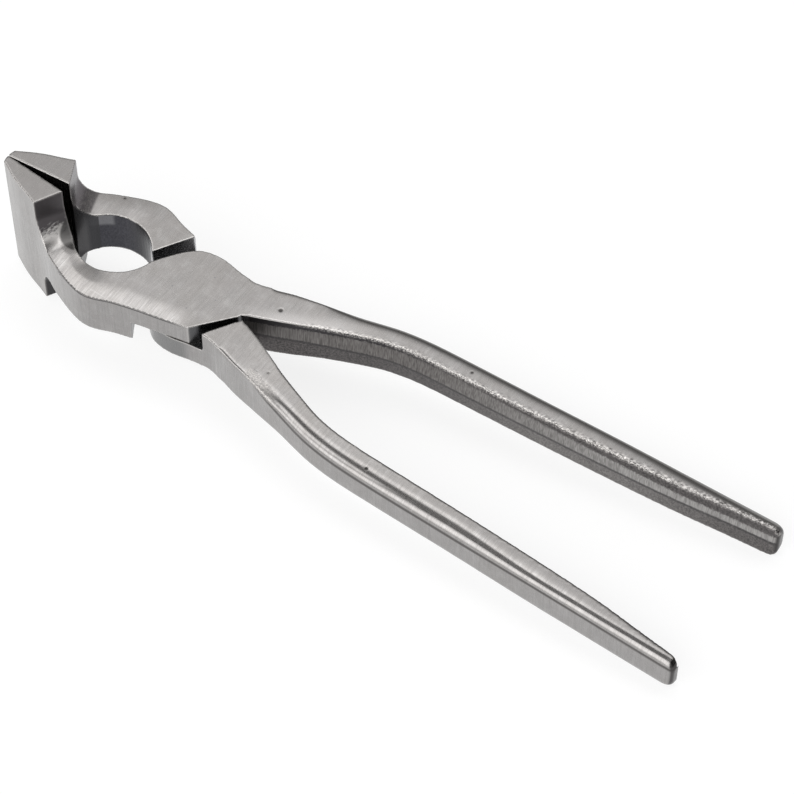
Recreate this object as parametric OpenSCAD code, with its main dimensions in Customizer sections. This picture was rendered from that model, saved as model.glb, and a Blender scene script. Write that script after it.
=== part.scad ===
// Forged lap-joint pliers with tall wedge jaws, a round throat behind them and long bowed handles.
// The tool lies along X: jaw tips towards -X, handle ends towards +X. The rivet runs along Z.
// Both arms are one forging shape, the lower arm turned half a turn about X.

/* [Overall] */
// Length from the jaw tips to the handle ends
overall_len = 200; // [166:1:240]
// Thickness of the body, measured along the rivet
body_t = 12.2; // [10.2:0.1:14.7]

/* [Jaws] */
// Height of the jaws, measured along the rivet
jaw_h = 35.4; // [29.5:0.1:42.5]
// Length of the gripping faces
jaw_len = 17.4; // [14.5:0.1:20.9]
// Length of the jaws along their outer sides
jaw_side_len = 14; // [11.6:0.1:16.8]
// Width of one jaw at its heel
jaw_w = 8; // [6.6:0.1:9.7]
// Width of one jaw's blunt nose
nose_w = 2; // [1.6:0.1:2.5]
// Distance that each gripping face falls back from the centre line at its heel
jaw_relief = 1.35; // [1.1:0.05:1.65]
// Radius of the fillet between the heel of a jaw and the body
heel_r = 6.5; // [5.4:0.1:7.8]

/* [Throat] */
// Distance from the gripping faces to the throat, along the centre line
neck_len = 2; // [1.6:0.1:2.4]
// Depth of the ground facet that leads from each gripping face into the throat
neck_cut = 4.2; // [3.5:0.1:5]
// Radius of the cut that each arm carries
throat_r = 11; // [9.2:0.1:13.2]
// Distance that the centre of each arm's cut lies past the centre line
throat_inset = 2.9; // [2.4:0.1:3.5]
// Width of the bow of metal outside the throat
bow_w = 7.8; // [6.5:0.1:9.4]

/* [Lap joint] */
// Distance from the end of the throat to the rivet
web_len = 13.8; // [11.5:0.1:16.6]
// Radius of the half-thickness disc round the rivet
lap_r = 11; // [9.2:0.1:13.2]
// Clearance between the disc and the shoulder at the end of the bow
bow_clear = 3.8; // [3.2:0.1:4.6]
// Clearance between the disc and the shoulder at the root of the handle
root_clear = 1.4; // [1.2:0.1:1.7]
// Distance that the straight edge between lap and root cuts into the disc
edge_cut = 0.85; // [0.7:0.05:1.05]
// Gap between the two laps
lap_gap = 0.05; // [0.02:0.01:0.08]

/* [Rivet] */
// Diameter of the rivet's shank
rivet_d = 8; // [6.6:0.1:9.6]
// Diameter of the rivet's countersunk heads
rivet_head_d = 11; // [9.8:0.1:13.2]
// Depth of the rivet's countersunk heads
rivet_head_t = 2; // [1.6:0.1:2.4]
// Radial play between the rivet and the upper arm
rivet_play = 0.04; // [0.02:0.01:0.08]

/* [Handles] */
// Distance from the centre line to the middle of a handle after its bow
handle_bow = 17.6; // [14.6:0.1:21.2]
// Distance from the centre line to the middle of a handle at its end
handle_spread = 21.4; // [17.8:0.1:25.8]
// Width of a handle after its bow
handle_w = 5.9; // [4.9:0.1:7.1]
// Width of a handle at its end
handle_end_w = 3.4; // [2.8:0.1:4.1]
// Height of a handle, measured along the rivet
handle_h = 10.4; // [8.6:0.1:12.5]
// Radius of a handle's outer edges
handle_r = 2.4; // [2:0.1:2.9]
// Radius of a handle's outer edges at its end
handle_end_r = 2.7; // [2.2:0.1:3.2]
// Length over which a handle's end is rounded
handle_nose = 2.4; // [1.9:0.1:2.9]
// Distance that the parting line stands out from a handle's inner side
parting_out = 0.7; // [0.5:0.1:0.9]

/* [Hidden] */
half_t = body_t / 2;
half_jaw = jaw_h / 2;
throat_half = sqrt(throat_r * throat_r - throat_inset * throat_inset);
throat_x = jaw_len + neck_len + throat_half;
pivot_x = throat_x + throat_half + web_len;
bow_y = throat_r - throat_inset + bow_w;
root_x = pivot_x + lap_r + 3.6;
handle_len = overall_len - root_x;
bow_shoulder = lap_r + bow_clear;
bow_shoulder_angle = 149;
root_shoulder = lap_r + root_clear;
root_shoulder_angle = 32;
lap_edge = lap_r - edge_cut;
lap_edge_angle = 39.4;
root_out = lap_r - 0.1;
root_in = 0.9;
touch_gap = 0.02;
far = 60;
$fn = 96;

// Smooth curve through hand-chosen stations; each station may hold any number of values.
function station(p, i) = p[max(0, min(len(p) - 1, i))];
function between(a, b, c, d, s) =
    0.5 * (2 * b + (c - a) * s + (2 * a - 5 * b + 4 * c - d) * s * s + (3 * b - a - 3 * c + d) * s * s * s);
function smooth(p, steps) = [
    for (i = [0:len(p) - 2], k = [0:steps - 1])
        between(station(p, i - 1), p[i], p[i + 1], station(p, i + 2), k / steps),
    p[len(p) - 1]
];

// Outer side of an arm from its nose, round the bow, to the front corner of its lap.
lap_corner = [pivot_x + 5.1, lap_r - 1.1];
outer_side = smooth([
    [0.4, nose_w],
    [jaw_side_len * 0.44, nose_w + (jaw_w - nose_w) * 0.5],
    [jaw_side_len, jaw_w],
    [throat_x - 7.9, bow_y - 3.4],
    [throat_x + 2.5, bow_y],
    [throat_x + 10.5, bow_y - 2.1],
    [pivot_x - 8.5, lap_r + 1.5],
    [pivot_x - 3.4, lap_r + 0.5],
    lap_corner
], 6);

// Back side of the lap, from the throat round the disc to the root of the handle.
lap_start_y = 0.3;
lap_start_x = throat_x + sqrt(throat_r * throat_r - pow(throat_inset - lap_start_y, 2)) - 0.2;
lap_back = smooth([
    [lap_start_x, lap_start_y],
    [pivot_x - 11.1, 4.6],
    [pivot_x - 8.4, lap_r - 3],
    [pivot_x - 5, lap_r - 0.6],
    [pivot_x, lap_r],
    [pivot_x + 5.6, lap_r - 0.9],
    [pivot_x + 10.6, lap_r - 1.2],
    [root_x, root_out]
], 6);

// Stations along a handle: place, middle, width, half height, edge radius, parting line.
// The least radius and the least parting line keep every facet of the loft whole, and the
// first section sits a hair inside the root that it grows from.
root_seat = 0.03;
least_r = 0.3;
least_out = 0.05;
nose_face = 0.5;
handle_stations = smooth([
    for (s = [
        // share of length, share of bow, share of taper, share of height lost, share of rounding
        [0.00, 0.00, 0.00, 0.00, 0.00],
        [0.04, 0.15, 0.14, 0.00, 0.02],
        [0.08, 0.30, 0.42, 0.15, 0.12],
        [0.12, 0.47, 0.64, 0.35, 0.60],
        [0.16, 0.62, 0.80, 0.50, 0.90],
        [0.20, 0.77, 0.91, 0.60, 1.00],
        [0.24, 0.89, 0.98, 0.70, 1.00],
        [0.30, 0.98, 1.00, 0.85, 1.00],
        [0.40, 1.03, 1.00, 1.00, 1.00]
    ])
    let (root_mid = (root_in + root_out) / 2, root_w = root_out - root_in - 2 * root_seat)
    [
        root_x + s[0] * handle_len,
        root_mid + s[1] * (handle_bow - root_mid),
        root_w + s[2] * (handle_w - root_w),
        half_t - root_seat + s[3] * (handle_h / 2 - half_t),
        max(least_r, s[4] * handle_r),
        max(least_out, s[4] * parting_out)
    ],
    // share of length, share of spread, share of taper
    for (s = [[0.55, 0.26, 0.10], [0.70, 0.48, 0.20], [0.82, 0.66, 0.42], [0.92, 0.86, 0.76], [1, 1, 1]])
    [
        root_x + s[0] * (handle_len - handle_nose),
        handle_bow + s[1] * (handle_spread - handle_bow),
        handle_w + s[2] * (handle_end_w - handle_w),
        handle_h / 2,
        handle_r + s[2] * (min(handle_end_r, handle_end_w * 0.8) - handle_r),
        max(least_out, parting_out * (1 - s[2]))
    ]
], 3);

// One cross-section: flat top, outer edges rounded, inner side in two drafted flats.
function edge_arc(y, z, r, a, b) = [
    for (k = [0:4]) let (t = a + (b - a) * k / 4) [y + r * cos(t), z + r * sin(t)]
];
function section(st, grow = 1) =
    let (inner = st[1] - st[2] / 2, outer = st[1] + st[2] / 2, hh = st[3], r = st[4])
    let (ring = concat(
        [[inner - st[5], 0], [inner, hh]],
        edge_arc(outer - r, hh - r, r, 90, 0),
        edge_arc(outer - r, r - hh, r, 0, -90),
        [[inner, -hh]]
    ))
    [for (p = ring) [st[0], st[1] + (p[0] - st[1]) * grow, p[1] * grow]];

// The heel profile: the tall jaw and its fillets, seen from the side. Each fillet bites a hair
// into the jaw and into the body, so that it meets both at a clean edge.
heel_bite = 0.01;
module heel_profile() {
    fillet_x = heel_r - heel_bite;
    fillet_z = half_t + heel_r - heel_bite;
    translate([-far, -half_jaw]) square([far, jaw_h]);
    for (side = [0, 1]) mirror([0, side]) difference() {
        translate([-1, -1]) square([fillet_x + 1, fillet_z + 1]);
        translate([fillet_x, fillet_z]) circle(heel_r);
    }
}

// Everything on one side of a straight edge that stands off the rivet at an angle.
module beyond(distance, angle, z0, z1) {
    translate([pivot_x, 0, z0]) rotate([0, 0, angle]) translate([distance, -far, 0])
        cube([far, 2 * far, z1 - z0]);
}

// Jaw and bow. The facet at the neck runs from the heel of the gripping face to a point just
// inside the throat, and the heel of the jaw is square to the line between its two corners.
module head() {
    neck_end_x = throat_x - sqrt(pow(throat_r, 2) - pow(throat_inset + neck_cut, 2)) + 0.05;
    outline = concat(
        [[0, -touch_gap]],
        [for (p = outer_side) if (p[0] < pivot_x - 3) [p[0], -p[1]]],
        [[pivot_x - 3, 0], [throat_x, 0], [neck_end_x, -neck_cut], [jaw_len, -jaw_relief]]
    );
    heel_angle = atan2(jaw_len - jaw_side_len, jaw_w - jaw_relief);
    translate([0, 0, -half_t]) linear_extrude(height = body_t) polygon(outline);
    intersection() {
        translate([0, 0, -half_jaw]) linear_extrude(height = jaw_h) polygon(outline);
        translate([jaw_len, -jaw_relief, 0]) rotate([0, 0, -heel_angle]) rotate([90, 0, 0])
            linear_extrude(height = 2 * far, center = true) heel_profile();
    }
}

// Half-thickness lap that crosses over the other arm and runs into the root of the handle.
module lap() {
    edge_end = [
        pivot_x + lap_edge / cos(lap_edge_angle) - root_in * tan(lap_edge_angle) + 0.4,
        -0.6
    ];
    outline = concat(
        [for (p = outer_side) if (p[0] > throat_x) [p[0], -p[1]]],
        [edge_end, [root_x - 1.6, 0.1], [root_x, root_in]],
        [for (i = [len(lap_back) - 1:-1:0]) lap_back[i]],
        [[throat_x, 0]]
    );
    translate([0, 0, lap_gap / 2]) linear_extrude(height = half_t - lap_gap / 2) polygon(outline);
}

// The same station at another place along the arm.
function moved(st, x) = [x, st[1], st[2], st[3], st[4], st[5]];

// Handle lofted through its stations. It starts inside the root block and ends in a blunt nose.
module handle() {
    first = handle_stations[0];
    last = handle_stations[len(handle_stations) - 1];
    rings = concat(
        [section(moved(first, root_x - 1.5), 0.9)],
        [for (st = handle_stations) section(st)],
        [for (a = [25, 50, 70, 90])
            section(
                moved(last, overall_len - handle_nose * (1 - sin(a))),
                nose_face + (1 - nose_face) * cos(a)
            )]
    );
    m = len(rings[0]);
    polyhedron(
        points = [for (ring = rings, p = ring) p],
        faces = concat(
            [[for (k = [m - 1:-1:0]) k]],
            [for (i = [0:len(rings) - 2], k = [0:m - 1])
                [i * m + k, i * m + (k + 1) % m, (i + 1) * m + (k + 1) % m, (i + 1) * m + k]],
            [[for (k = [0:m - 1]) (len(rings) - 1) * m + k]]
        )
    );
}

// Root of the handle below the lap plane, cut square to its shoulder.
module root_block() {
    outline = concat(
        [[root_x, root_in], [root_x - 1.6, 0.6], [pivot_x, 0.6]],
        [for (p = lap_back) if (p[0] > pivot_x) p]
    );
    difference() {
        translate([0, 0, -half_t]) linear_extrude(height = body_t) polygon(outline);
        difference() {
            translate([pivot_x - far, -far, -body_t]) cube([2 * far, 2 * far, body_t + lap_gap / 2]);
            beyond(root_shoulder, root_shoulder_angle, -body_t, body_t);
        }
    }
}

// One arm, drawn with its lap above the parting plane and its jaw towards -Y.
module arm(bore_gap) {
    difference() {
        union() {
            difference() {
                head();
                translate([0, 0, -body_t]) difference() {
                    translate([pivot_x - far, -far, 0]) cube([2 * far, 2 * far, body_t + lap_gap / 2]);
                    beyond(bow_shoulder, -bow_shoulder_angle, -1, 2 * body_t);
                }
            }
            lap();
            root_block();
            handle();
        }
        translate([throat_x, throat_inset, 0]) cylinder(h = 2 * jaw_h, r = throat_r, center = true);
        rivet_shape(bore_gap, 0.01);
    }
}

// Rivet outline, also used to bore the arms: shank with a countersunk head at each face.
module rivet_shape(grow, over) {
    top = half_t + over;
    translate([pivot_x, 0, 0]) rotate_extrude() polygon([
        [0, -top], [rivet_head_d / 2 + grow, -top], [rivet_head_d / 2 + grow, -half_t],
        [rivet_d / 2 + grow, rivet_head_t - half_t], [rivet_d / 2 + grow, half_t - rivet_head_t],
        [rivet_head_d / 2 + grow, half_t], [rivet_head_d / 2 + grow, top], [0, top]
    ]);
}

// The tool stands with its jaws on the ground plane and its length centred on the origin.
module placed() {
    translate([-overall_len / 2, 0, half_jaw]) children();
}

module upper_arm() {
    color([0.66, 0.65, 0.63]) placed() arm(rivet_play);
}

module lower_arm() {
    color([0.62, 0.61, 0.59]) placed() rotate([180, 0, 0]) arm(0);
}

module pivot_rivet() {
    color([0.70, 0.69, 0.67]) placed() rivet_shape(0, 0);
}

upper_arm();
lower_arm();
pivot_rivet();
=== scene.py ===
# %% [markdown]
# # A pair of forged lap-joint pliers
# The tool is three pieces of steel: two arms that are the same forging, one turned over, and the
# rivet that they turn on. The frame already holds the exact solids. This lesson gives them what a
# solid from a drawing lacks: worn edges, ground and forged skins, the marks of the belt, and light.

# %% Load the frame
import math
from types import SimpleNamespace

import bmesh
import bpy
import numpy as np
from mathutils import Matrix, Vector, kdtree
from mathutils.bvhtree import BVHTree


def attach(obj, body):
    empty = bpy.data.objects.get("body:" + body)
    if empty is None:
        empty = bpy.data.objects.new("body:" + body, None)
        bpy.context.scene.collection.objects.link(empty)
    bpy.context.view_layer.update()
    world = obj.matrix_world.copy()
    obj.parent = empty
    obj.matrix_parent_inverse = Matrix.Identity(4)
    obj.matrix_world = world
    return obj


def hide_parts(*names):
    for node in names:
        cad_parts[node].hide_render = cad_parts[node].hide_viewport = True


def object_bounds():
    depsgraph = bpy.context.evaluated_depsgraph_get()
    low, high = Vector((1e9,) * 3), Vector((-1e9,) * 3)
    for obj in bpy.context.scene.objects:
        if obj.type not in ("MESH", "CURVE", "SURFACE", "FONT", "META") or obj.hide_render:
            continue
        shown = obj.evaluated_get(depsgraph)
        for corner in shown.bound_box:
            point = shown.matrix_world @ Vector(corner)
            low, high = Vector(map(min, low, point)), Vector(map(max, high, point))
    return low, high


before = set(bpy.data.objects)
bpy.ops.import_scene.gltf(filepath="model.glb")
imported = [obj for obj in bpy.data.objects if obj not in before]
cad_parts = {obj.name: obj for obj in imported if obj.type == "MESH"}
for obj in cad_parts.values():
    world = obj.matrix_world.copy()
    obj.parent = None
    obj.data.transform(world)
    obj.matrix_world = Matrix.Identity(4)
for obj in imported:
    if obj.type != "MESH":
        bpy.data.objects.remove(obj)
cad_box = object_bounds()
MM = 0.001
print("overall size in mm", [round((b - a) / MM, 1) for a, b in zip(*cad_box)])

# %% [markdown]
# ## The camera
# The picture was taken from high up in front of the tool, a little towards the handle ends, with a
# long lens, so parallel edges hardly converge. A camera is easiest to place by what it looks at: a
# target point on the tool, a compass bearing, a height above the horizon and a distance. The lens
# follows from how large the tool is.

# %% Camera
VIEW_BEARING = math.radians(34.578)
VIEW_HEIGHT = math.radians(54.0)
VIEW_ROLL = math.radians(0.2085)
VIEW_DISTANCE = 710.6 * MM
VIEW_LENS = 140.87
FILM_WIDTH = 36
NEAREST_SEEN = 10 * MM
VIEW_TARGET = Vector((7.762, 5.096, 17.7)) * MM

level = math.cos(VIEW_HEIGHT)
towards_camera = Vector((
    math.sin(VIEW_BEARING) * level, -math.cos(VIEW_BEARING) * level, math.sin(VIEW_HEIGHT)))
camera = bpy.data.objects.new("camera", bpy.data.cameras.new("camera"))
bpy.context.scene.collection.objects.link(camera)
camera.data.lens = VIEW_LENS
camera.data.sensor_width = FILM_WIDTH
camera.data.clip_start = NEAREST_SEEN
camera.location = VIEW_TARGET + towards_camera * VIEW_DISTANCE
turn = (-towards_camera).to_track_quat("-Z", "Y").to_matrix()
camera.rotation_euler = (turn @ Matrix.Rotation(VIEW_ROLL, 3, "Z")).to_euler()
bpy.context.scene.camera = camera
bpy.context.scene.view_settings.view_transform = "Standard"
print("camera at", [round(v, 4) for v in camera.location])

# %% [markdown]
# ## Floor
# The tool stands on the undersides of its jaws and on the tips of its handles, so the ground is a
# plane through both. It is white to the eye and still takes the shadow.

# %% The slope of the ground
HANDLE_NOSE = 2.4 * MM
HANDLE_UNDERSIDE = 12.5 * MM
JAW_DEPTH = 17.4 * MM
tip_x = cad_box[1].x - HANDLE_NOSE
heel_x = cad_box[0].x + JAW_DEPTH
floor_tilt = math.atan2(HANDLE_UNDERSIDE, tip_x - heel_x)
print("floor tilt in degrees", round(math.degrees(floor_tilt), 2))


# %% [markdown]
# Every finish below is a small graph of nodes: noise, ramps and mixes that end in one shader.
# Written out in full, such a graph hides its own idea, so a few helpers add a node and fill its
# inputs in one line. A value that is another node's output is linked, and any other value is set.

# %% Small helpers for meshes and node trees
def new_mesh(name, verts, faces):
    mesh = bpy.data.meshes.new(name)
    mesh.from_pydata(verts, [], faces)
    obj = bpy.data.objects.new(name, mesh)
    bpy.context.scene.collection.objects.link(obj)
    return obj


def material(name):
    mat = bpy.data.materials.new(name)
    mat.use_nodes = True
    mat.node_tree.nodes.clear()
    return mat, mat.node_tree


def set_input(tree, socket, value):
    if isinstance(value, bpy.types.NodeSocket):
        tree.links.new(value, socket)
    else:
        socket.default_value = value


def add(tree, kind, *values, **named):
    """A new node. Plain values fill its inputs in order, named ones by the input's name."""
    node = tree.nodes.new(kind)
    for socket, value in zip(node.inputs, values):
        set_input(tree, socket, value)
    for key, value in named.items():
        set_input(tree, node.inputs[key.replace("_", " ")], value)
    return node


def math_node(tree, operation, *values):
    node = add(tree, "ShaderNodeMath", *values)
    node.operation = operation
    return node.outputs[0]


def times(tree, a, b):
    return math_node(tree, "MULTIPLY", a, b)


def spread(tree, value, low, high, out_low=0.0, out_high=1.0):
    """Stretch the range low..high of a value onto out_low..out_high."""
    node = add(tree, "ShaderNodeMapRange", value, low, high, out_low, out_high)
    return node.outputs[0]


def blended(tree, share, a, b):
    """Colour a where share is 0, colour b where it is 1."""
    node = tree.nodes.new("ShaderNodeMix")
    node.data_type = "RGBA"
    for socket, value in zip((node.inputs[0], node.inputs[6], node.inputs[7]), (share, a, b)):
        set_input(tree, socket, value)
    return node.outputs[2]


# %% [markdown]
# The photograph's ground is white. More light would whiten this floor too, but it would bleach the
# steel as well. Instead the floor glows by itself to the camera and in reflections, and adds a
# little of the light that falls on it, so a soft shadow stays under the tool. To all other light it
# is a plain pale card.

# %% Floor
FLOOR_HALF = 3.0
FLOOR_GLOW = 0.79
FLOOR_COLOUR = 0.24
CARD_COLOUR = 0.75
FLOOR_DROP = 0.05 * MM
corners = [(x * FLOOR_HALF, y * FLOOR_HALF, 0) for x, y in ((-1, -1), (1, -1), (1, 1), (-1, 1))]
floor = new_mesh("floor", corners, [(0, 1, 2, 3)])
floor.location = (heel_x, 0, -FLOOR_DROP)
floor.rotation_euler = (0, -floor_tilt, 0)

floor_mat, t = material("floor_white")
path = add(t, "ShaderNodeLightPath")
seen = math_node(t, "MAXIMUM", path.outputs["Is Camera Ray"], path.outputs["Is Glossy Ray"])
seen = math_node(t, "MAXIMUM", seen, path.outputs["Is Transmission Ray"])
card = add(t, "ShaderNodeBsdfDiffuse", Color=(CARD_COLOUR,) * 3 + (1,))
faint = add(t, "ShaderNodeBsdfDiffuse", Color=(FLOOR_COLOUR,) * 3 + (1,))
glow = add(t, "ShaderNodeEmission", Color=(1, 1, 1, 1), Strength=FLOOR_GLOW)
white = add(t, "ShaderNodeAddShader", faint.outputs[0], glow.outputs[0])
mix = add(t, "ShaderNodeMixShader", seen, card.outputs[0], white.outputs[0])
add(t, "ShaderNodeOutputMaterial", mix.outputs[0])
floor.data.materials.append(floor_mat)
print("floor white to the eye", FLOOR_GLOW, "plus", FLOOR_COLOUR, "of the light on it")

# %% [markdown]
# ## Light
# Steel shows the room more than itself. The room here has a narrow light high behind the tool and a
# wider one in front of it, about halfway up, with a dim strip overhead between them. It fades past
# the jaws, and to almost nothing past the handle ends. A direction is told by two numbers: the turn
# about the tool's length, in degrees from the back horizon over the top to the front horizon, and
# how far it points along the tool. The levels were set for the photograph's view, by comparing
# patches of the render with it. Seen from the far side, the flat tops mirror the light and come out
# paler than here.

# %% Studio light
world = bpy.data.worlds.new("studio")
bpy.context.scene.world = world
world.use_nodes = True
t = world.node_tree
t.nodes.clear()
look = add(t, "ShaderNodeTexCoord").outputs["Generated"]
look_parts = add(t, "ShaderNodeSeparateXYZ", look)
turn_about = math_node(t, "ARCTAN2", look_parts.outputs["Z"], look_parts.outputs["Y"])
half_turn = math_node(t, "DIVIDE", turn_about, math.pi)


def grey_ramp(tree, value, stops):
    """A ramp of greys through (place, level); levels above 1 are allowed."""
    node = add(tree, "ShaderNodeValToRGB", value)
    points = node.color_ramp.elements
    while len(points) > 1:
        points.remove(points[0])
    points[0].position, points[0].color = stops[0][0], (stops[0][1],) * 3 + (1,)
    for place, level in stops[1:]:
        points.new(place).color = (level, level, level, 1)
    return node.outputs[0]


ROUND_STOPS = [(0, 0.45), (25, 0.30), (38, 0.36), (48, 0.66), (60, 0.84), (63, 1.3), (67, 2.3),
               (78, 2.7), (82, 1.2), (86, 0.17), (113, 0.17), (119, 1.2), (125, 2.4), (150, 2.4),
               (165, 1.5), (180, 0.5)]
ALONG_STOPS = [(-1, 0.6), (-0.33, 1.0), (-0.05, 1.45), (0.15, 1.9), (0.45, 1.5), (0.6, 0.35),
               (1.0, 0.12)]
round_level = grey_ramp(t, half_turn, [(a / 180, v) for a, v in ROUND_STOPS])
along = spread(t, look_parts.outputs["X"], -1, 1)
along_level = grey_ramp(t, along, [((x + 1) / 2, v) for x, v in ALONG_STOPS])
sky_colour = add(t, "ShaderNodeVectorMath", round_level, along_level)
sky_colour.operation = "MULTIPLY"
# at this cap a belt line of 0.455 stays just under white, but scratches and worn edges can reach it
LIGHT_CAP = 2.1
plain = add(t, "ShaderNodeVectorMath", sky_colour.outputs[0], (LIGHT_CAP,) * 3)
plain.operation = "MINIMUM"
sky = add(t, "ShaderNodeBackground", plain.outputs[0], 1.0)
add(t, "ShaderNodeOutputWorld", sky.outputs[0])
print("light stops", len(ROUND_STOPS), "round,", len(ALONG_STOPS), "along, capped at", LIGHT_CAP)

# %% [markdown]
# ## A new skin for each arm
# The solid from the drawing has knife edges and long thin triangles, which can't hold the wear of a
# real forging. A bevel modifier could round them, but it fails where curved walls meet in slivers.
# Remeshing with small voxels gives an even net of tiny quads. It also eats the corners, so each
# point is then put back on the drawing, and the points beside a sharp edge right onto that edge.

# %% Even net of quads
VOXEL = 0.28 * MM
print("voxel in mm", round(VOXEL / MM, 3))


def shaped_copy(obj, name):
    graph = bpy.context.evaluated_depsgraph_get()
    mesh = bpy.data.meshes.new_from_object(obj.evaluated_get(graph))
    mesh.name = name
    copy = bpy.data.objects.new(name, mesh)
    bpy.context.scene.collection.objects.link(copy)
    return copy


def remeshed(node, name):
    rough = shaped_copy(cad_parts[node], name + "_rough")
    net = rough.modifiers.new("net", "REMESH")
    net.mode = "VOXEL"
    net.voxel_size = VOXEL
    fine = shaped_copy(rough, name)
    bpy.data.objects.remove(rough)
    fine.data.materials.clear()
    return fine


# %% [markdown]
# Both arms are one forging, so every later step is written once, in the forging's own millimetres:
# x runs from the jaw tips, y is negative on the side of the arm's own jaw, z is zero where the two
# laps meet. The lower arm is the same forging turned half a turn about x.

# %% Forging coordinates
TIP = np.array((cad_box[0].x, 0, (cad_box[0].z + cad_box[1].z) / 2)) / MM
PIVOT_X = 54.42
HALF_T = 6.1
ROOT_X = 69.0
THROAT = np.array((30.01, 2.9))
THROAT_R = 11.0
RIVET_HEAD_R = 5.5
print("the tips are at", TIP.round(2))


def turned_over(p, turned):
    return p * (1, -1, -1) if turned else p


def to_forging(obj, turned):
    co = np.empty(len(obj.data.vertices) * 3)
    obj.data.vertices.foreach_get("co", co)
    return turned_over(co.reshape(-1, 3) / MM - TIP, turned)


def from_forging(obj, p, turned):
    obj.data.vertices.foreach_set("co", ((turned_over(p, turned) + TIP) * MM).ravel())
    obj.data.update()


def normals(obj, turned):
    n = np.empty(len(obj.data.vertices) * 3)
    obj.data.vertices.foreach_get("normal", n)
    return turned_over(n.reshape(-1, 3), turned)


def net_edges(obj):
    edges = np.empty(len(obj.data.edges) * 2, int)
    obj.data.edges.foreach_get("vertices", edges)
    return edges.reshape(-1, 2)


# %% [markdown]
# Wear is soft: a corner gives way a little, and a mark fades out. Three tools are enough for all of
# it. Smoothing moves points towards their neighbours, easing says how strongly a step acts at each
# point, and a sum of seeded waves gives roughness that is the same at every run.

# %% Helpers: smoothing, easing and random waves
def smoothed(p, edges, rounds, share=0.5):
    """Move points towards the middle of their neighbours; share may differ from point to point."""
    links = np.bincount(edges.ravel(), minlength=len(p))[:, None]
    share = np.broadcast_to(share, len(p))[:, None]
    for _ in range(rounds):
        total = np.empty_like(p)
        for k in range(3):
            total[:, k] = (np.bincount(edges[:, 0], p[edges[:, 1], k], len(p))
                           + np.bincount(edges[:, 1], p[edges[:, 0], k], len(p)))
        p = p + share * (total / links - p)
    return p


def ease(low, high, value):
    """Zero below low, one above high, and a smooth rise between."""
    share = np.clip((value - low) / (high - low), 0, 1)
    return share * share * (3 - 2 * share)


def fade(low, high, value):
    """One below low, zero above high."""
    return 1 - ease(low, high, value)


def between(low, high, value):
    return (value > low) & (value < high)


def wobble(p, size, seed, waves=14):
    """A smooth random field of about unit strength: a sum of waves of about one length."""
    rng = np.random.default_rng(seed)
    way = rng.normal(size=(waves, 3))
    way /= np.linalg.norm(way, axis=1)[:, None]
    beat = 2 * np.pi / size * rng.uniform(0.6, 1.5, waves)
    phase = rng.uniform(0, 6.28, waves)
    return np.sin(p @ (way * beat[:, None]).T + phase).sum(axis=1) * (2 / waves) ** 0.5


# %% [markdown]
# Edges wear first, so most marks are placed by how far a point is from the nearest edge. The solid
# knows its edges: one counts where its two faces turn by more than 35 degrees. Points strewn along
# them turn that distance into a quick search. The seam where root and handle meet in the drawing
# isn't an edge of the tool and is left out.

# %% Where the drawing has its edges
EDGE_STEP = 0.06
SHARP = math.radians(35)
WELD = 0.002 * MM
ROOT_SEAM = 0.3
print("an edge turns by more than", round(math.degrees(SHARP)), "degrees")


def drawing_edges(node, turned):
    """Points along every sharp edge of the solid in forging millimetres, and which are convex."""
    bm = bmesh.new()
    bm.from_mesh(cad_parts[node].data)
    bmesh.ops.remove_doubles(bm, verts=bm.verts, dist=WELD)
    points, convex = [], []
    for e in bm.edges:
        if len(e.link_faces) == 2 and e.calc_face_angle(0) > SHARP:
            a, b = (np.array(v.co) / MM - TIP for v in e.verts)
            n = max(1, int(np.linalg.norm(b - a) / EDGE_STEP))
            points.append(a + (b - a) * ((np.arange(n) + 0.5) / n)[:, None])
            convex += [e.is_convex] * n
    bm.free()
    points, convex = turned_over(np.concatenate(points), turned), np.array(convex)
    real = np.abs(points[:, 0] - ROOT_X) > ROOT_SEAM
    return points[real], convex[real]


def nearest(points, p):
    """The nearest of points to each of p, and how far away it is."""
    tree = kdtree.KDTree(len(points))
    for i, q in enumerate(points):
        tree.insert(q, i)
    tree.balance()
    found = [tree.find(q) for q in p]
    return np.array([f[0] for f in found]), np.array([f[2] for f in found])


# %% [markdown]
# The remeshed net lies close to the solid but not on it. Each point now goes to the nearest spot of
# the solid, and points beside an edge go right onto the edge, so wear starts from the drawn form.

# %% Put the net back on the drawing
SNAP = 0.2
HANDLE_ROUNDS = 8
print("onto the edge from within", SNAP, "mm")


def fitted(arm, node, turned, sharp):
    edges = net_edges(arm)
    p = smoothed(to_forging(arm, turned), edges, 1, 0.3)
    from_forging(arm, p, turned)
    tree = BVHTree.FromObject(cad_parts[node], bpy.context.evaluated_depsgraph_get())
    seats = np.array([tree.find_nearest(v.co)[0] for v in arm.data.vertices])
    p = turned_over(seats / MM - TIP, turned)
    seat, near = nearest(sharp, p)
    p[near < SNAP] = seat[near < SNAP]
    # the drawing has flat strips round the rounded edges of a handle, and these are smoothed away
    strips = ease(ROOT_X - 3, ROOT_X - 1, p[:, 0]) * ease(0.3, 1.0, near)
    return smoothed(p, edges, HANDLE_ROUNDS, 0.5 * strips), edges


# %% [markdown]
# ## Wear
# The sculpting follows what the photograph shows. The outer rim of the bow is rolled off, the
# handles are slightly crowned towards their outer sides, and a rough burr runs along their inner
# edges. The upper arm has the near jaw and the far handle, and the lower arm has the far jaw and the
# near handle. Each mark is a step of its own, so it can be changed alone. A step moves the points p,
# and s tells it where they lay before the wear, and which arm it is. First the handle's limits are
# measured, because the crown, the burr and the masks are placed by them.

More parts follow.
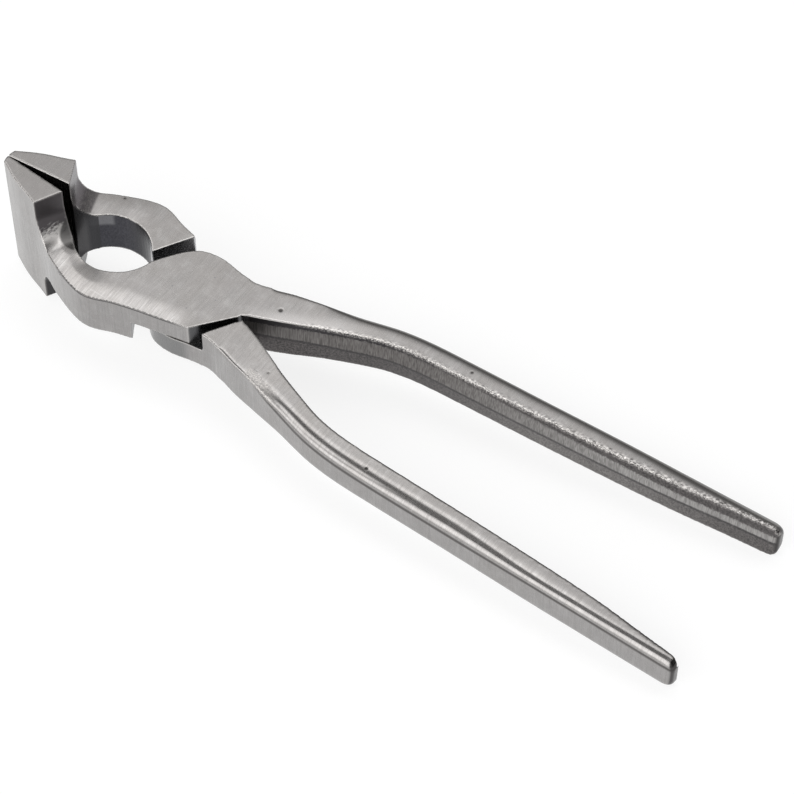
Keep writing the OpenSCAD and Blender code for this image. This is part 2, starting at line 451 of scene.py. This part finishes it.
# %% Handle limits
def handle_limits(p):
    """Inner and outer side of the handle at each point's x, and the height of its top."""
    x = p[:, 0]
    bins = np.arange(ROOT_X + 1, 200, 1.0)
    middle, inner, outer, top = [], [], [], []
    for b in bins:
        here = p[(x > b - 0.5) & (x <= b + 0.5)]
        if len(here) > 8:
            middle.append(b)
            outer.append(here[:, 1].max())
            flat = here[here[:, 2] > here[:, 2].max() - 0.5]
            inner.append(flat[:, 1].min())
            top.append(here[:, 2].max())
    return (np.interp(x, middle, inner), np.interp(x, middle, outer), np.interp(x, middle, top))


# %% [markdown]
# The photograph shows a few small dents, and the first two of each list below are some of them. The
# third of each list isn't in it and only adds a little life. Noise would pepper the whole tool with
# dents, so each has its own place, in forging millimetres, and its own size.

# %% Pits, as places and sizes
PITS = {
    False: [((74.1, 6.5, 6.1), 0.75), ((41.3, -16.5, 3.0), 0.5), ((120.0, 17.5, 5.2), 0.5)],
    True: [((82.2, 9.5, 6.1), 0.5), ((115.5, 18.2, 5.2), 0.6), ((24.0, -12.6, 6.1), 0.4)],
}
PIT_DEPTH = 0.12
print("pits", sum(len(places) for places in PITS.values()), "of depth", PIT_DEPTH)


def press_pits(p, s):
    """Press the dents in and return where they are."""
    pits = np.zeros(len(p))
    for centre, size in PITS[s.turned]:
        far = np.linalg.norm(np.c_[s.x, s.y, s.z_up] - np.array(centre), axis=1)
        pits = np.maximum(pits, fade(0, size, far))
    p[:, 2] -= np.sign(p[:, 2]) * PIT_DEPTH * pits
    return pits


# %% [markdown]
# The drawing leaves a hair of play round the rivet's head, which would show as a dark ring. In the
# photograph nothing shows there, as if rivet and arm had been ground flush together. So the lip of
# the hole closes on the head, at the outer face only, and the play inside the joint stays.

# %% The lip of the hole
LIP_PLAY = 0.003
LIP_REACH = 0.2
ON_FACE = 0.05
CRISP_R = 6.6
print("play left at the lip", LIP_PLAY, "mm")


def close_lip(p):
    from_rivet = np.hypot(p[:, 0] - PIVOT_X, p[:, 1])
    lip = np.abs(from_rivet - RIVET_HEAD_R) < LIP_REACH
    lip &= np.abs(np.abs(p[:, 2]) - HALF_T) < ON_FACE
    scale = (RIVET_HEAD_R + LIP_PLAY) / from_rivet[lip]
    p[lip, 0] = PIVOT_X + (p[lip, 0] - PIVOT_X) * scale
    p[lip, 1] *= scale


# %% [markdown]
# At its root the square body turns into the rounded handle. On the tool the corners there are
# broken, and the outer side runs through without a step. Smoothing only near a corner breaks it, and
# a shift towards a straight line evens out the side.

# %% Root of the handle
ROOT_CORNERS = ((62.8, 10.0), (68.6, 0.7))
SIDE_STATIONS = (60, 66, 73)
ROOT_ROUNDS = 5
EVENED_SIDE = (66, 73)
print("root corners broken", len(ROOT_CORNERS))


def soften_root(p, edges):
    side_at = [p[np.abs(p[:, 0] - at) < 0.3, 1].max() for at in SIDE_STATIONS]
    root_side = np.interp(p[:, 0], SIDE_STATIONS, side_at)
    from_corner = np.hypot(root_side - p[:, 1], HALF_T - np.abs(p[:, 2]))
    soft = ease(58, 69, p[:, 0]) * fade(70, 75, p[:, 0]) * fade(0.5, 1.3, from_corner)
    p = smoothed(p, edges, ROOT_ROUNDS, 0.5 * soft)
    corner = sum(fade(1.0, 1.9, np.hypot(p[:, 0] - cx, p[:, 1] - cy)) for cx, cy in ROOT_CORNERS)
    return smoothed(p, edges, ROOT_ROUNDS, 0.5 * np.clip(corner, 0, 1) * (p[:, 2] < -0.5))


def straighten_side(p, s):
    slices = np.arange(64, 76, 0.3)
    side_y = np.array([s.y[np.abs(s.x - at) < 0.2].max() for at in slices])
    ends = (slices < 66.5) | (slices > 72.5)
    shift = np.interp(slices, slices[ends], side_y[ends]) - side_y
    near_side = s.y > np.interp(s.x, slices, side_y) - 1.5
    p[:, 1] += np.interp(s.x, slices, shift) * near_side * between(*EVENED_SIDE, s.x)


# %% [markdown]
# A bow like this is probably ground by rocking it on a belt, which rolls its outer rim off. The rim
# then catches a broad band of light, wider on the upper arm than on the lower one. Points near the
# rim's edge line sink by the square of their nearness, which gives a roll and not a flat bevel.

# %% Rim of the bow
FILLET_LIFT = 0.35


def roll_rim(p, s, sharp):
    """Roll the bow's outer rim off and return how far each point is from it."""
    last = 37 if s.turned else 60
    level = sharp[:, 2] * s.up
    bow = sharp[(level > HALF_T - 0.2) & (level < 10) & (sharp[:, 1] < -4.5)
                & between(13, last, sharp[:, 0])]
    bow = bow[(bow[:, 1] < -8) | (bow[:, 0] < 22)]
    _, rim = nearest(bow, p)
    faded = ease(14, 17, s.x) * fade(last - 8, last + 1, s.x)
    faded = faded * between(HALF_T - 1.2, 10, s.z_up)
    faded *= 1.3 - 0.3 * ease(24, 30, s.x)
    p[:, 2] -= s.up * s.roll * np.clip(1 - rim / s.roll_width, 0, 1) ** 2 * faded
    return rim


def lengthen_fillet(p, s):
    """The fillet at the near jaw's heel runs out long."""
    run = fade(18, 25, s.x) * ease(13.5, 15, s.x) * (s.z_up > HALF_T - 1.2) * fade(9, 12, s.z_up)
    p[:, 2] += s.up * FILLET_LIFT * run


# %% [markdown]
# The handles differ. The near one is a millimetre shorter, with a tighter rounding towards its end,
# and the far one is worn over its outer edge. Both are crowned towards the outer side, the near one
# more. The drawing has one handle for both arms, so these differences are made here.

# %% Handles
RADIUS_AT = ((69, 0.3), (79.5, 0.3), (84.7, 1.44), (90, 2.16), (95, 2.4), (170, 2.45), (197, 2.65))
FACE_HEIGHT = 5.2
CROWN_DEPTH = 0.24
FAR_CROWN_SHARE = 0.3
TIGHTER_BY = 0.3
SHORTER_BY = 1.0
SHORTENED = (150, 200)
FAR_WEAR = 0.65
print("near handle shorter by", SHORTER_BY, "mm, far end worn by", FAR_WEAR)


def crown_handle(p, s):
    reach = np.interp(s.x, (140, 165), (3.7, 3.1))
    full = np.interp(s.x, (115, 165), (1.2, 0.60))
    crown = CROWN_DEPTH * np.clip((reach - s.from_outer) / 2.0, 0, full) ** 2
    crown *= ease(-0.4, 1.2, s.from_outer)
    crown *= 1.0 if s.turned else FAR_CROWN_SHARE
    on = ease(ROOT_X + 8, ROOT_X + 20, s.x)
    p[:, 2] -= np.sign(p[:, 2]) * on * crown * np.clip(np.abs(p[:, 2]) / FACE_HEIGHT, 0, 1) ** 2


def tighten_near_handle(p, s):
    big = np.interp(s.x, *zip(*RADIUS_AT))
    slack = TIGHTER_BY * big * ease(138, 165, s.x) * (s.z_up > -1)
    rise = np.clip(s.z_up - (s.top - big), 1e-6, None)
    along_round = np.arctan2(np.clip(big - s.from_outer, 0, None), rise)
    on_flat = fade(0, 2.2, s.from_outer - big)
    on_flank = fade(0, 2.5, (s.top - big) - s.z_up)
    p[:, 1] += slack * (1 - np.sin(along_round)) * on_flat
    p[:, 2] += s.up * slack * (1 - np.cos(along_round)) * on_flank
    start, end = SHORTENED
    p[:, 0] -= np.clip(p[:, 0] - start, 0, end - start) / (end - start) * SHORTER_BY


def wear_far_handle(p, s):
    across = (s.y - s.inner) / (s.outer - s.inner)
    worn = FAR_WEAR * ease(140, 198, s.x) * ease(0.2, 1.0, across) * (s.z_up > 0)
    p[:, 2] -= worn * np.clip(s.z_up / FACE_HEIGHT, 0, 1) ** 2 * s.up


# %% [markdown]
# Along the inner edge of a handle runs a rough burr, stronger towards the end, and far stronger on
# the far handle. A bump in the material alone would leave the outline smooth, so the points
# themselves are moved, by waves about as long as the burr's crumbs. The seeds keep it the same at
# every run.

# %% Burr
BURR_SIZE, BURR_SEED = 0.9, 5
COARSE_SIZE, COARSE_SEED = 0.8, 6
COARSE_DEPTH = 0.02
SIDEWAYS = np.array((0, 0.7, 0.7))
print("burr crumbs about", BURR_SIZE, "mm long")


def roughen(p, s):
    rough = s.on_burr * fade(0.35, 1.2, s.near) * (s.y < s.inner + 1.2)
    rough = rough * (0.04 + 0.10 * ease(100, 190, s.x))
    rough *= np.where(s.z_up > 1.5, 0.12 if s.turned else 1.0, 0.1)
    p += (wobble(p, BURR_SIZE, BURR_SEED) * rough)[:, None] * SIDEWAYS


def coarse_start(s):
    """One on the short coarse stretch where the near handle's rounding starts."""
    return ease(77, 79, s.x) * fade(84, 90, s.x) * (s.from_outer < 2.8)


def coarsen_start(p, s):
    rough = COARSE_DEPTH * coarse_start(s) * (s.z_up > 2)
    p[:, 2] += wobble(p, COARSE_SIZE, COARSE_SEED) * rough * s.up


# %% [markdown]
# The steel isn't one tone all over: walls, edges, fillets and the skin inside the handles each have
# their own, and many of these tones are painted shade or painted highlights. Each is a mask, a
# number from 0 to 1 at every point, worked out here from place and direction and stored on the
# mesh, where the material reads it by name. Two more, along and height, are plain millimetres.

# %% Masks for the material
NECK = np.array((18.4, -2.5))
NECK_ALONG = np.array((0.73, -0.68))
NECK_ACROSS = np.array((-0.68, -0.73))
FACET_MIDDLE, FACET_HALF, FACET_BULGE = 3.2, 3.4, 2.0


def masks(n, p, s, crisp, rim, pits):
    x, y, z_up = s.x, s.y, s.z_up
    n_up = n[:, 2] * s.up
    upper, lower = not s.turned, s.turned
    from_throat = np.hypot(x - THROAT[0], y - THROAT[1]) - THROAT_R
    upright = fade(0.3, 0.7, np.abs(n[:, 2]))
    line_z = s.top - np.interp(x, *zip(*RADIUS_AT)) * 0.95
    neck_along = (np.c_[x, y] - NECK) @ NECK_ALONG
    neck_across = (np.c_[x, y] - NECK) @ NECK_ACROSS
    bulge = FACET_BULGE * (1 - ((neck_along - FACET_MIDDLE) / FACET_HALF) ** 2)
    inner_edge = s.on_burr * (y < s.inner + 1.3) * (z_up > 1.5)
    dull = between(12, 40, x) * (y > -7) * (z_up < HALF_T - 0.6)
    heel = ease(0.2, 0.45, n[:, 0]) * between(10, 30, x)
    end_on = ease(0.4, 0.65, np.abs(n[:, 0])) * between(36, 70, x) * (np.abs(n[:, 1]) < 0.92)
    facet = ease(-0.3, 0.2, bulge - neck_across) * (np.abs(neck_along - FACET_MIDDLE) < 3.5)
    facet = facet * between(16, 25, x) * between(HALF_T - 0.3, 11, z_up)
    fillet = fade(18.3, 18.9, x + (y + 9.1) * -0.357) * (x > 13) * between(HALF_T - 0.4, 14, z_up)
    fillet = fillet * ease(0.15, 0.4, np.maximum(n[:, 0], n_up)) * (np.abs(n[:, 1]) < 0.75)
    lit = ease(66, 75, x) * fade(86, 100, x) * fade(0.8, 5.0, y - s.inner) * (n_up > 0.8)
    rim_line = fade(0.3, 0.6, rim) * (y < -8) * ease(22, 26, x) * fade(54, 60, x)
    flank = ease(79, 88, x) * fade(0.25, 0.6, np.abs(z_up - line_z)) * (s.from_outer < 1.6)
    lap_floor = fade(0.3, 0.6, np.abs(p[:, 2])) * (np.abs(n[:, 2]) > 0.7) * between(36, 72, x)
    return {
        "edge": fade(0.10, 0.42, s.near) * (1 - crisp) * (1 - 0.8 * inner_edge) * (1 - dull),
        "burr": inner_edge * fade(0.3, 1.1, s.near) * upper * (1 - 0.5 * ease(165, 190, x)),
        "dark_inner_edge": inner_edge * fade(0.15, 0.5, s.near) * lower,
        "darker_top_strip": ease(105, 165, x) * fade(1.2, 2.4, y - s.inner) * (n_up > 0.9) * lower,
        "inner": ease(0.45, 0.8, -n[:, 1]) * (y > 0.4) * ease(60, 64, x),
        "bore": upright * fade(0.4, 1.0, from_throat) * (y > -9) * (x < 46),
        "neck": upright * between(16.5, 22, x) * (y > -7) * ease(0.2, 0.5, n[:, 1]),
        "facet": facet * (n_up > 0.3) * upper,
        "far_fillet_dark": fillet * lower,
        "heel": heel * (np.abs(p[:, 2]) > HALF_T - 0.3),
        "heel_grind_and_sheen": heel * (z_up > HALF_T - 0.3) * upper,
        "lit": lit * upper,
        "end_on": end_on,
        "lap_end": end_on * upper,
        "disc": upright * (y > 3) * fade(57, 61, x) * (x > 43) * lower,
        "side": fade(0.2, 0.6, np.abs(n[:, 2])),
        "start": coarse_start(s) * (n_up > 0.2) * lower,
        "rim_line": rim_line * fade(0.6, 0.95, n_up) * (z_up > 4) * upper,
        "along": x,
        "height": z_up,
        "flank": flank * lower,
        "outside": ease(64, 70, x) * ease(0.12, 0.40, n[:, 1]) * upper,
        "end": ease(0.25, 0.5, n[:, 0]) * (x > 190),
        "jaw_top": (np.abs(p[:, 2]) > 17) * ease(0.8, 0.95, np.abs(n[:, 2])),
        "pit": pits,
        "lap_floor": lap_floor,
    }


# %% [markdown]
# Now the steps run in order on one arm. Where a point lies is noted once, when the root is done, and
# most of the later steps go by that, so they don't chase what an earlier one has moved.

# %% Shape of one arm
ON_RIM = 0.03


def worn_arm(node, name, turned, roll, roll_width):
    arm = remeshed(node, name)
    sharp, convex = drawing_edges(node, turned)
    p, edges = fitted(arm, node, turned, sharp)
    crisp = fade(CRISP_R, CRISP_R + 0.4, np.hypot(p[:, 0] - PIVOT_X, p[:, 1]))
    if not turned:
        close_lip(p)
    p = soften_root(smoothed(p, edges, 1, 0.5 * (1 - crisp)), edges)

    up = -1 if turned else 1
    s = SimpleNamespace(turned=turned, up=up, roll=roll, roll_width=roll_width, x=p[:, 0].copy(),
                        y=p[:, 1].copy(), z_up=p[:, 2] * up)
    _, s.near = nearest(sharp[convex], p)
    rim = roll_rim(p, s, sharp)
    straighten_side(p, s)
    if not turned:
        lengthen_fillet(p, s)

    s.inner, s.outer, s.top = handle_limits(p)
    s.from_outer = s.outer - s.y
    s.on_burr = ease(76, 86, s.x)
    crown_handle(p, s)
    if turned:
        tighten_near_handle(p, s)
    else:
        wear_far_handle(p, s)
    roughen(p, s)
    pits = press_pits(p, s)
    if turned:
        coarsen_start(p, s)
    from_forging(arm, p, turned)

    for key, value in masks(normals(arm, turned), p, s, crisp, rim, pits).items():
        layer = arm.data.attributes.new(key, "FLOAT", "POINT").data
        layer.foreach_set("value", np.asarray(value, float))
    arm.data.polygons.foreach_set("use_smooth", [True] * len(arm.data.polygons))
    if not turned:
        on_rim = np.abs(np.hypot(s.x - PIVOT_X, s.y) - RIVET_HEAD_R) < ON_RIM
        on_rim &= np.abs(np.abs(p[:, 2]) - HALF_T) < ON_RIM
        arm.data.edges.foreach_set("use_edge_sharp", on_rim[edges].all(axis=1))
    print(name, len(arm.data.vertices), "points")
    return arm


# %% [markdown]
# ## Ground steel
# The faces came off a belt: fine lines across the tool, all in nearly one direction, over bare
# steel. The lines are noise stretched a long way, used as colour, as roughness and as a shallow
# bump. Where the forging was never ground, inside the handles, it keeps a brown-grey skin.

# %% Steel
BELT_LINES = 3.4
steel, t = material("ground_steel")
coord = add(t, "ShaderNodeTexCoord").outputs["Object"]


def grain(tree, scale, turn=(0, 0, 0), detail=3.0, rough=0.6):
    """Noise stretched along two axes: scale is beats per millimetre."""
    place = add(tree, "ShaderNodeMapping", coord, Scale=[s / MM for s in scale], Rotation=turn)
    return add(tree, "ShaderNodeTexNoise", Vector=place.outputs[0], Scale=1.0, Detail=detail,
               Roughness=rough).outputs["Fac"]


def attribute(tree, name):
    node = tree.nodes.new("ShaderNodeAttribute")
    node.attribute_name = name
    return node.outputs["Fac"]


MASKS = ("edge", "burr", "inner", "bore", "heel", "height", "along", "end_on", "flank", "neck",
         "facet", "pit", "lap_floor", "dark_inner_edge", "far_fillet_dark", "disc", "outside", "end", "jaw_top",
         "side", "start", "rim_line", "heel_grind_and_sheen", "lit", "lap_end", "darker_top_strip")
on = {key: attribute(t, key) for key in MASKS}
lines = grain(t, (BELT_LINES, 0.16, 0.12), (0, 0, 0.10))
cross = grain(t, (1.6, 0.12, 0.12), (0, 0, -0.30))
cloud = grain(t, (0.12, 0.09, 0.09))
speck = grain(t, (2.4, 2.4, 2.4), detail=2)
level_marks = grain(t, (2.2, 0.12, 2.6), detail=4)
mottle = grain(t, (0.42, 0.30, 0.42), detail=4, rough=0.65)
scratch = grain(t, (0.10, 4.5, 0.10), (0, 0, 0.95), detail=1)


def subtract(a, b):
    return math_node(t, "SUBTRACT", a, b)


marks = math_node(t, "ADD", times(t, lines, 0.6), times(t, cross, 0.4))
marks = math_node(t, "ADD", times(t, marks, subtract(1.0, on["heel"])),
                  times(t, level_marks, on["heel"]))
tone = spread(t, marks, 0.36, 0.64)
print("belt lines per millimetre", BELT_LINES)

# %% [markdown]
# A finish is built like paint, in layers. Each has a share, which may differ from point to point,
# and a colour. The bare steel gets its belt lines, then cloudy patches and a few scratches, and then
# painted shade on the jaw tops and the sides, a painted highlight on the far handle near its root,
# and a darker strip on the near handle's top.

# %% Layers, and the bare ground steel
def layered(surface, layers):
    """Lay each (share, colour) over the surface, in order."""
    for share, colour in layers:
        surface = blended(t, share, surface, colour)
    return surface


ground = layered(blended(t, tone, (0.345, 0.333, 0.326, 1), (0.455, 0.440, 0.431, 1)), (
    (spread(t, cloud, 0.42, 0.62, 0.0, 0.30), (0.350, 0.327, 0.308, 1)),
    (spread(t, mottle, 0.40, 0.66, 0.0, 0.34), (0.300, 0.285, 0.277, 1)),
    (spread(t, mottle, 0.46, 0.30, 0.0, 0.30), (0.500, 0.488, 0.480, 1)),
    (spread(t, scratch, 0.66, 0.74, 0.0, 0.22), (0.58, 0.57, 0.56, 1)),
    # painted shade: the jaw tops and the side faces darker than the other faces
    (times(t, on["jaw_top"], 0.45), (0.28, 0.268, 0.262, 1)),
    (times(t, on["side"], 0.40), (0.26, 0.257, 0.258, 1)),
    # painted highlight on the far handle's top near its root
    (times(t, on["lit"], 0.8), (0.58, 0.56, 0.55, 1)),
    # a darker strip on the near handle's top, along its inner edge
    (times(t, on["darker_top_strip"], 0.6), (0.26, 0.25, 0.245, 1)),
))
print("nodes of the ground steel", len(t.nodes))

# %% [markdown]
# Inside the handles the skin has three levels: a dark rough strip of painted shade under
# the burr, a strip that a wheel seems to have touched, with fine upright lines, and the dark lower
# half, with a line of painted shadow at the parting line between the two. The levels follow the
# height on the handle, and a little speckle in that height makes their borders ragged.

# %% Forged skin
# painted shadow along the parting line of the handle's inner face
PARTING_LINE_SHADOW = (0.055, 0.052, 0.054, 1)
ragged = math_node(t, "ADD", on["height"], times(t, subtract(speck, 0.5), 2.2))
upright_lines = spread(t, grain(t, (3.6, 3.6, 0.25), detail=2), 0.35, 0.65)
speckle = spread(t, speck, 0.35, 0.65)
touched = blended(t, upright_lines, (0.115, 0.108, 0.104, 1), (0.235, 0.223, 0.216, 1))
wheeled = blended(t, upright_lines, (0.24, 0.232, 0.226, 1), (0.42, 0.408, 0.398, 1))
touched = blended(t, spread(t, on["along"], 112, 165), touched, wheeled)
dark = blended(t, speckle, (0.055, 0.051, 0.052, 1), (0.145, 0.134, 0.132, 1))
grey = blended(t, speckle, (0.11, 0.104, 0.102, 1), (0.25, 0.237, 0.230, 1))
low = blended(t, spread(t, on["along"], 112, 140), dark, grey)
low = blended(t, times(t, spread(t, on["along"], 165, 190), 0.7), low, dark)
under_burr = subtract(ragged, spread(t, on["along"], 118, 180, 3.9, 2.0))
burr_shade = blended(t, spread(t, on["along"], 100, 125), (0.050, 0.047, 0.050, 1), dark)
off_parting = math_node(t, "ABSOLUTE", math_node(t, "ADD", on["height"], 0.35))
skin = layered(touched, (
    (spread(t, under_burr, 0.0, 0.4), burr_shade),
    (spread(t, ragged, -0.25, 0.15, 1.0, 0.0), low),
    (times(t, spread(t, off_parting, 0.25, 0.6, 1.0, 0.0), 0.7), PARTING_LINE_SHADOW),
))
print("nodes with the skin", len(t.nodes))

# %% [markdown]
# The bow's inner wall is nearly black in the photograph, with one paler patch. Here it is painted
# near black as shade in the hole, darker still on the half towards the rivet. One even black would
# look flat, so a fine speckle keeps it steel.

# %% Wall of the throat
fine_speckle = spread(t, speck, 0.3, 0.7)
patch_span = times(t, spread(t, on["along"], 19.8, 20.6), spread(t, on["along"], 25.4, 24.6))
patch = times(t, spread(t, on["height"], 2.0, 3.0), patch_span)
# painted shade in the hole: near black, darker on the half towards the rivet
wall = layered(blended(t, fine_speckle, (0.035, 0.035, 0.042, 1), (0.070, 0.070, 0.080, 1)), (
    (times(t, patch, 0.8), (0.19, 0.19, 0.20, 1)),
    (times(t, spread(t, on["along"], 28, 31.5), 0.7), (0.018, 0.018, 0.022, 1)),
))
# a dark speckled tone laid on the far jaw's heel fillet
fillet_dark_colour = blended(t, fine_speckle, (0.06, 0.056, 0.062, 1), (0.17, 0.158, 0.155, 1))
print("nodes with the throat's wall", len(t.nodes))

# %% [markdown]
# The last layers go over the whole arm: dark patches on the heels and the far heel's fillet,
# painted light and painted shade on the ends of the laps, painted shade in the neck and between the
# laps, painted dark reflections along the handles' flanks and round the upper arm's rim, painted
# shade on the handle ends, worn edges with a painted highlight, and the burr with painted glints.
# The order matters, because a later layer covers an earlier one. Some of these tones may be
# reflections on the real tool, which one picture can't tell.
# Painted by place, they look right from the photograph's side, and stay put under another light.

# %% Steel, put together
# painted light: the lap and shoulder end faces of the lower arm, paler than the steel
END_FACE_PAINTED_LIGHT = (0.62, 0.62, 0.64, 1)
# painted shade: the upper arm's lap end faces
OUTER_SHADE = (0.10, 0.10, 0.103, 1)
streaked = math_node(t, "ADD", on["height"], times(t, subtract(level_marks, 0.5), 7.0))
sparkle = spread(t, grain(t, (2.8, 2.8, 2.8), detail=2), 0.45, 0.6)
colour = layered(ground, (
    (on["inner"], skin),
    (on["bore"], wall),
    # painted shade in the neck, the slit between the jaws
    (times(t, on["neck"], 0.9), (0.045, 0.045, 0.048, 1)),
    (times(t, on["far_fillet_dark"], 0.85), fillet_dark_colour),
    (on["end_on"], END_FACE_PAINTED_LIGHT),
    (on["lap_end"], OUTER_SHADE),
    # painted shade on the side of the lower arm's lap disc and on the lap faces between the arms
    (times(t, on["disc"], 0.9), (0.21, 0.21, 0.21, 1)),
    (times(t, on["lap_floor"], 0.85), (0.12, 0.12, 0.12, 1)),
    # the near heel's coarse-ground fillet, lighter in colour as a painted highlight
    (times(t, on["heel_grind_and_sheen"], 0.8), (0.66, 0.64, 0.625, 1)),
    # a darker upper part on the near heel, a dark far heel and a dark patch at the near jaw's neck
    (times(t, on["heel"], spread(t, streaked, 7.5, 8.7, 0.0, 0.95)), (0.110, 0.101, 0.107, 1)),
    (times(t, on["heel"], spread(t, on["height"], -6.5, -8.0)), (0.045, 0.044, 0.046, 1)),
    (times(t, on["facet"], 0.9), (0.095, 0.092, 0.09, 1)),
    # painted dark reflection along the near handle's flank and on the far handle's outer side, and
    # painted shade on the handle ends
    (times(t, on["flank"], 0.9), (0.09, 0.085, 0.082, 1)),
    (times(t, on["outside"], 0.85), (0.11, 0.105, 0.10, 1)),
    (times(t, on["end"], 0.95), (0.06, 0.057, 0.057, 1)),
    # worn edges, lighter in colour as a painted highlight; then a painted dark line round the upper
    # arm's rim
    (times(t, on["edge"], 0.40), (0.65, 0.63, 0.61, 1)),
    (times(t, on["rim_line"], 0.95), (0.045, 0.044, 0.045, 1)),
    # the burr and the near handle's coarse stretch, with painted glints
    (times(t, times(t, on["burr"], sparkle), 0.75), (0.78, 0.75, 0.72, 1)),
    (times(t, times(t, on["start"], sparkle), 0.7), (0.72, 0.69, 0.66, 1)),
    # a darker ragged line along the near handle's inner edge
    (times(t, on["dark_inner_edge"], spread(t, sparkle, 0.0, 0.5, 1.0, 0.6)), (0.055, 0.052, 0.05, 1)),
    (spread(t, on["pit"], 0.0, 0.45, 0.0, 0.9), (0.05, 0.047, 0.045, 1)),
))
print("nodes of the colour", len(t.nodes))

# %% [markdown]
# Bare steel is all reflection, so it is fully metallic, and its look hangs on how rough it is: the
# belt lines are a little smoother than the ground between them, and the forged skin is rougher. The
# same lines also tilt the surface by a shallow bump, which is enough because they are far finer than
# the mesh.

# %% Gloss and relief
gloss = math_node(t, "ADD", spread(t, tone, 0, 1, 0.29, 0.22), times(t, on["inner"], 0.18))
coarse_parts = math_node(t, "MAXIMUM", on["heel_grind_and_sheen"], on["start"])
gloss = math_node(t, "ADD", gloss, times(t, coarse_parts, 0.20))
skin_marks = times(t, times(t, on["inner"], speck), 1.2)
relief = add(t, "ShaderNodeBump", Height=math_node(t, "ADD", marks, skin_marks), Strength=0.32,
             Distance=0.02 * MM)
bsdf = add(t, "ShaderNodeBsdfPrincipled", Base_Color=colour, Metallic=1.0, Roughness=gloss,
           Normal=relief.outputs[0])
add(t, "ShaderNodeOutputMaterial", bsdf.outputs[0])
print("steel nodes", len(t.nodes))

# %% [markdown]
# ## Putting it together
# Each worn arm rides the body of its own forging and replaces it, so it turns with the joint.
# The rivet only takes the steel, without wear, because the photograph shows nothing of it. It is
# taken as headed tight in the lower arm, and moves with it.

# %% The arms and the rivet
ARMS = (
    # node, body, turned over, depth of the rim's roll, width of the roll
    ("upper_arm", "upper", False, 0.37, 5.0),
    ("lower_arm", "lower", True, 0.08, 4.0),
)
for node, body, turned, roll, roll_width in ARMS:
    arm = worn_arm(node, node + "_steel", turned, roll, roll_width)
    arm.data.materials.append(steel)
    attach(arm, body)
    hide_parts(node)
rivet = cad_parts["pivot_rivet"]
rivet.data.materials.clear()
rivet.data.materials.append(steel)
